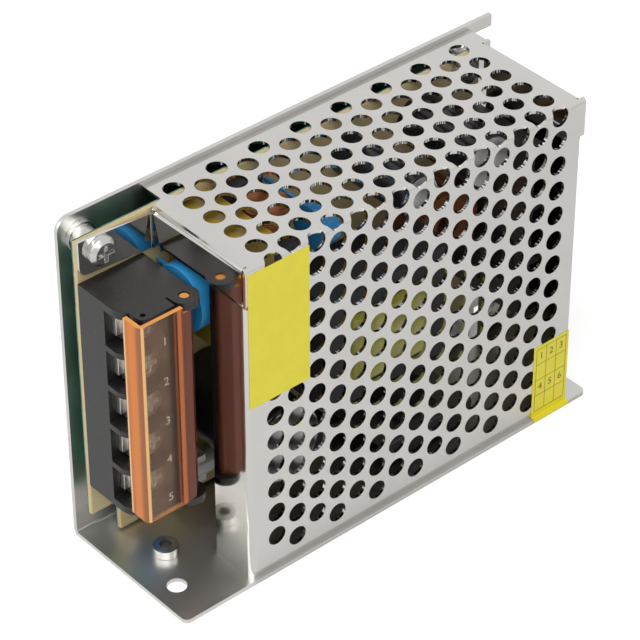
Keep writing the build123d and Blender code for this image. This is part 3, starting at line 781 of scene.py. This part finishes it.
def cover_plan(size):
    """Places of the folds and edges of the cover's blank."""
    sheet, bend = size.cover_sheet, size.cover_bend
    outer, reach = sheet + bend, arc_reach(bend, sheet)
    stretch = reach - outer
    near, top, rear = COVER_LOW.y, COVER_HIGH.z, COVER_HIGH.x - size.rear_lip
    plan = SimpleNamespace(outer=outer, reach=reach, rear=rear, floor=COVER_LOW.z, back=COVER_HIGH.y)
    plan.fold_front, plan.fold_rear = size.cover_front + outer, rear - outer
    plan.long_fold = top - outer
    plan.shift = plan.long_fold + reach - near - outer
    plan.flange_top = top - size.corner_drop
    plan.slit = near + sheet + size.slit_place + plan.shift
    plan.flange_end = plan.fold_front - size.front_flange - stretch
    plan.flange_rear = plan.fold_rear + size.rear_flange + stretch
    plan.tab_front = plan.fold_front - size.corner_tab - stretch
    plan.tab_rear = plan.fold_rear + size.corner_tab + stretch
    plan.board = BOARD_LOW.y + plan.shift
    plan.ear_start = plan.board - outer
    plan.ear_end = plan.ear_start + reach + size.cover_front - size.ear_gap - bend
    plan.ear_top = below_top(plan, size.ear_drop)
    return plan


def below_top(plan, depth):
    """Place on the blank of what lies that far under the top face once the front is folded."""
    return plan.fold_front - depth + plan.outer - plan.reach


def cover_outline(size, plan):
    """Outline of the cover's flat blank, from the front flange's lower corner on."""
    front, gap, lip = size.cover_front, size.slit_width, plan.rear + size.rear_lip
    notch, back, slit = front + size.board_notch, plan.back + plan.shift, plan.slit
    high, low = plan.ear_top, below_top(plan, size.ear_drop + size.ear_width)
    high_root, low_root = high - size.ear_slant, low - size.ear_slant
    step, bent = plan.ear_start + plan.outer - size.ear_root, plan.ear_start + plan.reach
    ear_corners = [(low_root, step), (low, plan.ear_end), (high, plan.ear_end)]
    return [
        (plan.flange_end, plan.floor),
        (plan.flange_end, plan.flange_top - gap),
        (plan.fold_front, plan.flange_top - gap),
        (plan.fold_front, plan.flange_top),
        (front, plan.flange_top),
        (front, slit - gap),
        (plan.fold_front, slit - gap),
        (plan.fold_front, slit),
        (plan.tab_front, slit),
        (plan.tab_front, step),
        (low_root, step),
        (low_root, bent),
        *rounded(ear_corners, [0, size.ear_corner, 0])[1:-1],
        (high, plan.ear_end),
        (high_root, bent),
        (high_root, plan.ear_start - gap),
        (notch, plan.board),
        (notch, back),
        (lip, back),
        (lip, plan.board),
        (plan.fold_rear, plan.board),
        (plan.fold_rear, plan.board - 2 * gap),
        (plan.tab_rear, plan.board - 2 * gap),
        (plan.tab_rear, slit),
        (plan.fold_rear, slit),
        (plan.fold_rear, slit - gap),
        (lip, slit - gap),
        (lip, plan.flange_top),
        (plan.fold_rear, plan.flange_top),
        (plan.fold_rear, plan.flange_top - gap),
        (plan.flange_rear, plan.flange_top - gap),
        (plan.flange_rear, plan.floor),
    ]


def cover_holes(size, plan):
    """Perforations of both faces on the blank, and the one row that lies across the long fold."""
    pitch, radius, points = size.hole_pitch, size.hole_diameter / 2, size.hole_points
    holes = []
    column, x = 0, size.first_hole_x
    while x + radius < plan.rear - size.hole_margin:
        drop = pitch / 2 if column % 2 else 0.0
        z = size.first_hole_z - drop
        while z + radius < plan.long_fold - 0.1:
            holes.append(circle(x, z, radius, points))
            z += pitch
        y = size.first_hole_y - drop
        if not column % 2:
            across = (z + y - pitch + plan.shift) / 2
            holes.append(circle(x, across, radius, points))
        while y < plan.back - size.hole_margin:
            holes.append(circle(x, y + plan.shift, radius, points))
            y += pitch
        column += 1
        x = size.first_hole_x + pitch * math.sqrt(3) / 2 * column
    return holes


class SUPPLY_OT_cover(bpy.types.Operator):
    """Folds the perforated cover from one punched blank"""

    bl_idname = "supply.cover"
    bl_label = "Perforated cover"

    def execute(self, context):
        size = drawing_sizes(context.scene.supply_sheet)
        sheet, bend = size.cover_sheet, size.cover_bend
        plan = cover_plan(size)
        holes = cover_holes(size, plan)
        ear_hole = (below_top(plan, size.ear_hole_drop), plan.ear_end - size.ear_hole_inset)
        holes.append(circle(*ear_hole, size.ear_hole / 2, 24))
        slit_end = size.cover_front + size.slit_hole_place
        holes.append(circle(slit_end, plan.flange_top, size.slit_hole / 2, 16))
        bm = punched_blank(cover_outline(size, plan), holes, self.folds(size, plan))
        thicken(bm, sheet)
        flat = {vert: vert.co.copy() for vert in bm.verts}
        ear_right, ear_low = plan.ear_top + HAIR, plan.ear_start - HAIR
        ear = [vert.co for vert, place in flat.items() if place.x < ear_right and place.y > ear_low]
        fold(ear, 1, plan.ear_start, 1, bend, sheet, towards=-1)
        fold(ear, 0, plan.fold_front, -1, bend, sheet, rigid=True)
        strip_low, strip_high = plan.flange_top - HAIR, plan.slit - size.slit_width / 2
        rear_last = plan.board - size.slit_width
        ends = ((plan.fold_front, -1, plan.ear_start + HAIR), (plan.fold_rear, 1, rear_last))
        for line, sign, last in ends:
            flange = []
            for vert, place in flat.items():
                in_strip = strip_low < place.y < strip_high
                if (place.x - line) * sign > 0 and place.y < last and not in_strip:
                    flange.append(vert.co)
            fold(flange, 0, line, sign, bend, sheet)
        fold([vert.co for vert in bm.verts], 1, plan.long_fold, 1, bend, sheet)
        for vert in bm.verts:
            x, up, deep = vert.co
            vert.co = (x, COVER_LOW.y + deep, up)
        bmesh.ops.recalc_face_normals(bm, faces=bm.faces)
        thing = add_piece("cover_sheet", bm, "supply", ["tin_cover"], 30.0)
        edge = thing.modifiers.new("edge_break", "BEVEL")
        edge.width = size.edge_break * MM
        edge.segments = 2
        edge.limit_method = "ANGLE"
        edge.angle_limit = math.radians(50)
        edge.use_clamp_overlap = True
        weigh_normals(thing)
        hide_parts("perforated_cover")
        return {"FINISHED"}

    def folds(self, size, plan):
        """Score lines of the blank's four folds."""
        whole = plan.back + plan.shift + 1
        lines = score_lines(plan.long_fold, plan.reach, size.cover_front - 1, plan.rear + 2, False)
        for start in (plan.fold_front - plan.reach, plan.fold_rear):
            lines += score_lines(start, plan.reach, plan.floor - 1, whole, True)
        across = (plan.tab_front - 3, plan.ear_top)
        return lines + score_lines(plan.ear_start, plan.reach, *across, False)


class SUPPLY_OT_chassis(bpy.types.Operator):
    """Rounds the chassis plate's edges and finishes it with its pressed nut"""

    bl_idname = "supply.chassis"
    bl_label = "Chassis"

    def execute(self, context):
        softened("chassis_plate", 0.12, "tin_plate")
        softened("side_mount_nut", 0.15, "nickel")
        softened("board_standoffs", 0.12, "nickel")
        return {"FINISHED"}


class SUPPLY_OT_board(bpy.types.Operator):
    """Finishes the circuit board and its screws"""

    bl_idname = "supply.board"
    bl_label = "Board"

    def execute(self, context):
        softened("circuit_board", 0.08, "board", segments=1)
        softened("board_screws", 0.3, "nickel")
        softened("ear_screw", 0.25, "nickel")
        return {"FINISHED"}


class SUPPLY_OT_terminals(bpy.types.Operator):
    """Finishes the terminal block, its contacts, clamps and screws"""

    bl_idname = "supply.terminals"
    bl_label = "Terminals"

    def execute(self, context):
        softened("terminal_block", 0.18, "block_resin")
        softened("contact_bars", 0.1, "contact_tin")
        for way in range(1, context.scene.supply_terminals.ways + 1):
            softened(f"clamp_plate_{way}", 0.15, "contact_tin")
            softened(f"terminal_screw_{way}", 0.25, "screw_head")
        return {"FINISHED"}


class SUPPLY_OT_guard(bpy.types.Operator):
    """Finishes the clear hinged guard"""

    bl_idname = "supply.guard"
    bl_label = "Guard"

    def execute(self, context):
        sizes = drawing_sizes(context.scene.supply_terminals)
        softened("terminal_guard", 0.15, "amber")
        bm = bmesh.new()
        for way in range(sizes.ways):
            up = sizes.first_way + way * sizes.pitch
            where = (sizes.digit_place, GUARD_LOW.y - sizes.digit_lift, up)
            add_words(bm, str(sizes.ways - way), sizes.digit_height, where)
        add_piece("guard_numbers", bm, "guard", ["pale_print"])
        return {"FINISHED"}


class SUPPLY_OT_transformer(bpy.types.Operator):
    """Finishes the transformer's core, winding and bobbin"""

    bl_idname = "supply.transformer"
    bl_label = "Transformer"

    def execute(self, context):
        softened("transformer_core", 0.3, "ferrite")
        softened("transformer_winding", 0.3, "tape")
        softened("transformer_bobbin", 0.2, "package_resin")
        return {"FINISHED"}


class SUPPLY_OT_capacitors(bpy.types.Operator):
    """Finishes the capacitors and disc parts"""

    bl_idname = "supply.capacitors"
    bl_label = "Capacitors"

    def execute(self, context):
        softened("film_capacitor", 0.4, "film_case")
        for name in ("surge_disc", "safety_disc"):
            softened(name, 0.9, "blue_epoxy", segments=3)
        for name in ("bulk_capacitor", "output_capacitor_1", "output_capacitor_2", "auxiliary_capacitor"):
            can = softened(name, 0.3, "sleeve", "can_top")
            low = min(vertex.co.y for vertex in can.data.vertices)
            for face in can.data.polygons:
                face.material_index = int(face.normal.y < -0.98 and face.center.y < low + 0.0001)
        return {"FINISHED"}


class SUPPLY_OT_small_parts(bpy.types.Operator):
    """Finishes the filters, semiconductors, heat sinks and small parts"""

    bl_idname = "supply.small_parts"
    bl_label = "Small parts"

    def execute(self, context):
        plan = {
            "line_filter_bobbin": "ferrite",
            "line_filter_coils": "wire",
            "fuse": "fuse_body",
            "fuse_clips": "contact_tin",
            "output_choke": "wire",
            "bridge_rectifier": "package_resin",
            "primary_heat_sink": "mill_aluminium",
            "output_heat_sink": "mill_aluminium",
            "switch_transistor": "package_resin",
            "output_rectifier": "package_resin",
            "control_chip": "package_resin",
            "optocoupler": "package_resin",
            "resistors": "resistor",
            "trimmer_body": "trimmer_blue",
            "trimmer_rotor": "trimmer_white",
            "pilot_lamp": "lamp_green",
        }
        for node, finish_name in plan.items():
            softened(node, 0.12, finish_name)
        return {"FINISHED"}


class SUPPLY_OT_stickers(bpy.types.Operator):
    """Finishes the two yellow stickers"""

    bl_idname = "supply.stickers"
    bl_label = "Stickers"

    def execute(self, context):
        softened("front_label", 0.02, "sticker", segments=1)
        softened("seal_label", 0.02, "sticker", segments=1)
        size = drawing_sizes(context.scene.supply_label)
        low, high = size_box("seal_label")
        near, half = COVER_LOW.y - size.lift, size.line / 2
        left, right = low.x + size.margin, high.x - size.margin
        base, top = low.z + size.lap, high.z - size.margin
        cell, row = (right - left) / size.columns, (top - base) / (2 * size.rows)
        bm = bmesh.new()
        for column in range(size.columns + 1):
            x = left + cell * column
            add_rule(bm, (x - half, x + half), near, (base, top))
        for line in range(2 * size.rows + 1):
            z = base + row * line
            add_rule(bm, (left, right), near, (z - half, z + half))
        for digit in range(size.columns * size.rows):
            x = left + cell * (digit % size.columns + 0.5)
            z = top - row * (2 * (digit // size.columns) + 0.5)
            add_words(bm, str(digit + 1), size.digit_height, (x, near, z))
        add_piece("seal_print", bm, "supply", ["ink"])
        return {"FINISHED"}


def add_lamp(name, place, width, power):
    """Soft square lamp that points at the object."""
    data = bpy.data.lights.new(name, "AREA")
    data.shape = "SQUARE"
    data.size = width
    data.energy = power
    lamp = bpy.data.objects.new(name, data)
    lamp.location = place
    lamp.rotation_euler = (LAMP_AIM - Vector(place)).to_track_quat("-Z", "Y").to_euler()
    bpy.context.scene.collection.objects.link(lamp)


def add_floor(stage):
    """Pale floor that keeps the shadow and looks white to the camera."""
    made = Recipe(bpy.data.materials.new("pale_floor"))
    paint_node = made.add("ShaderNodeBsdfDiffuse", {}, {"Color": [stage.floor_shade] * 3})
    seen = made.add("ShaderNodeLightPath") * stage.floor_lift
    lift = made.add("ShaderNodeEmission", {}, {"Color": (1, 1, 1), "Strength": seen})
    both = made.add("ShaderNodeAddShader", {}, {0: paint_node, 1: lift})
    made.add("ShaderNodeOutputMaterial", {}, {"Surface": both})
    bm = bmesh.new()
    bmesh.ops.create_grid(bm, x_segments=1, y_segments=1, size=3.0)
    mesh = bpy.data.meshes.new("floor")
    bm.to_mesh(mesh)
    bm.free()
    floor = bpy.data.objects.new("floor", mesh)
    floor.data.materials.append(made.owner)
    floor.location.z = -0.05 * MM
    bpy.context.scene.collection.objects.link(floor)


def add_surroundings(stage):
    """Pale world: white to the camera, a little darker in reflections, softer as light."""
    world = bpy.data.worlds.new("surroundings")
    bpy.context.scene.world = world
    sky = Recipe(world)
    camera, glossy, through = [sky.add("ShaderNodeLightPath", out=index) for index in (0, 3, 6)]
    mirrored = glossy.maths("MAXIMUM", through)
    plain = 1 - camera.maths("MAXIMUM", mirrored)
    strength = plain * stage.sky + camera + mirrored * stage.seen
    light = sky.add("ShaderNodeBackground", {}, {"Color": (1, 1, 1), "Strength": strength})
    sky.add("ShaderNodeOutputWorld", {}, {"Surface": light})


def add_camera(stage):
    """The photograph's camera."""
    data = bpy.data.cameras.new("camera")
    data.lens = stage.lens
    data.sensor_width = 36.0
    data.clip_start = 0.01
    camera = bpy.data.objects.new("camera", data)
    camera.location = stage.eye
    camera.rotation_euler = stage.turn
    bpy.context.scene.collection.objects.link(camera)
    bpy.context.scene.camera = camera


class SUPPLY_OT_stage(bpy.types.Operator):
    """Sets the pale floor, the surroundings, the lamps and the camera"""

    bl_idname = "supply.stage"
    bl_label = "Stage"

    def execute(self, context):
        stage = context.scene.supply_stage
        context.scene.view_settings.view_transform = "Standard"
        add_floor(stage)
        add_surroundings(stage)
        for name, (place, width, power) in LAMPS.items():
            add_lamp(name, place, width, getattr(stage, power))
        add_camera(stage)
        return {"FINISHED"}


class SUPPLY_PT_panel(bpy.types.Panel):
    """Sizes, finishes and steps of the dressed supply"""

    bl_idname = "SUPPLY_PT_panel"
    bl_label = "Switching supply"
    bl_space_type = "VIEW_3D"
    bl_region_type = "UI"
    bl_category = "Supply"

    def draw(self, context):
        column = self.layout.column(align=True)
        for operator in OPERATORS:
            column.operator(operator.bl_idname)
        for group in GROUPS:
            settings = getattr(context.scene, group)
            box = self.layout.box()
            for name in settings.__annotations__:
                box.prop(settings, name)


GROUPS = {
    "supply_sheet": SheetSizes,
    "supply_terminals": TerminalSizes,
    "supply_label": LabelSizes,
    "supply_finishes": Finishes,
    "supply_guard": GuardTones,
    "supply_stage": StageSizes,
}
OPERATORS = (
    SUPPLY_OT_chassis,
    SUPPLY_OT_cover,
    SUPPLY_OT_board,
    SUPPLY_OT_terminals,
    SUPPLY_OT_guard,
    SUPPLY_OT_transformer,
    SUPPLY_OT_capacitors,
    SUPPLY_OT_small_parts,
    SUPPLY_OT_stickers,
    SUPPLY_OT_stage,
)


def register():
    for kind in (*GROUPS.values(), *OPERATORS, SUPPLY_PT_panel):
        bpy.utils.register_class(kind)
    for name, kind in GROUPS.items():
        setattr(bpy.types.Scene, name, PointerProperty(type=kind))


def unregister():
    for name in GROUPS:
        delattr(bpy.types.Scene, name)
    for kind in reversed((*GROUPS.values(), *OPERATORS, SUPPLY_PT_panel)):
        bpy.utils.unregister_class(kind)


def main():
    """Dresses every piece."""
    register()
    bpy.ops.supply.chassis()
    bpy.ops.supply.cover()
    bpy.ops.supply.board()
    bpy.ops.supply.terminals()
    bpy.ops.supply.guard()
    bpy.ops.supply.transformer()
    bpy.ops.supply.capacitors()
    bpy.ops.supply.small_parts()
    bpy.ops.supply.stickers()
    bpy.ops.supply.stage()


if __name__ == "__main__":
    main()
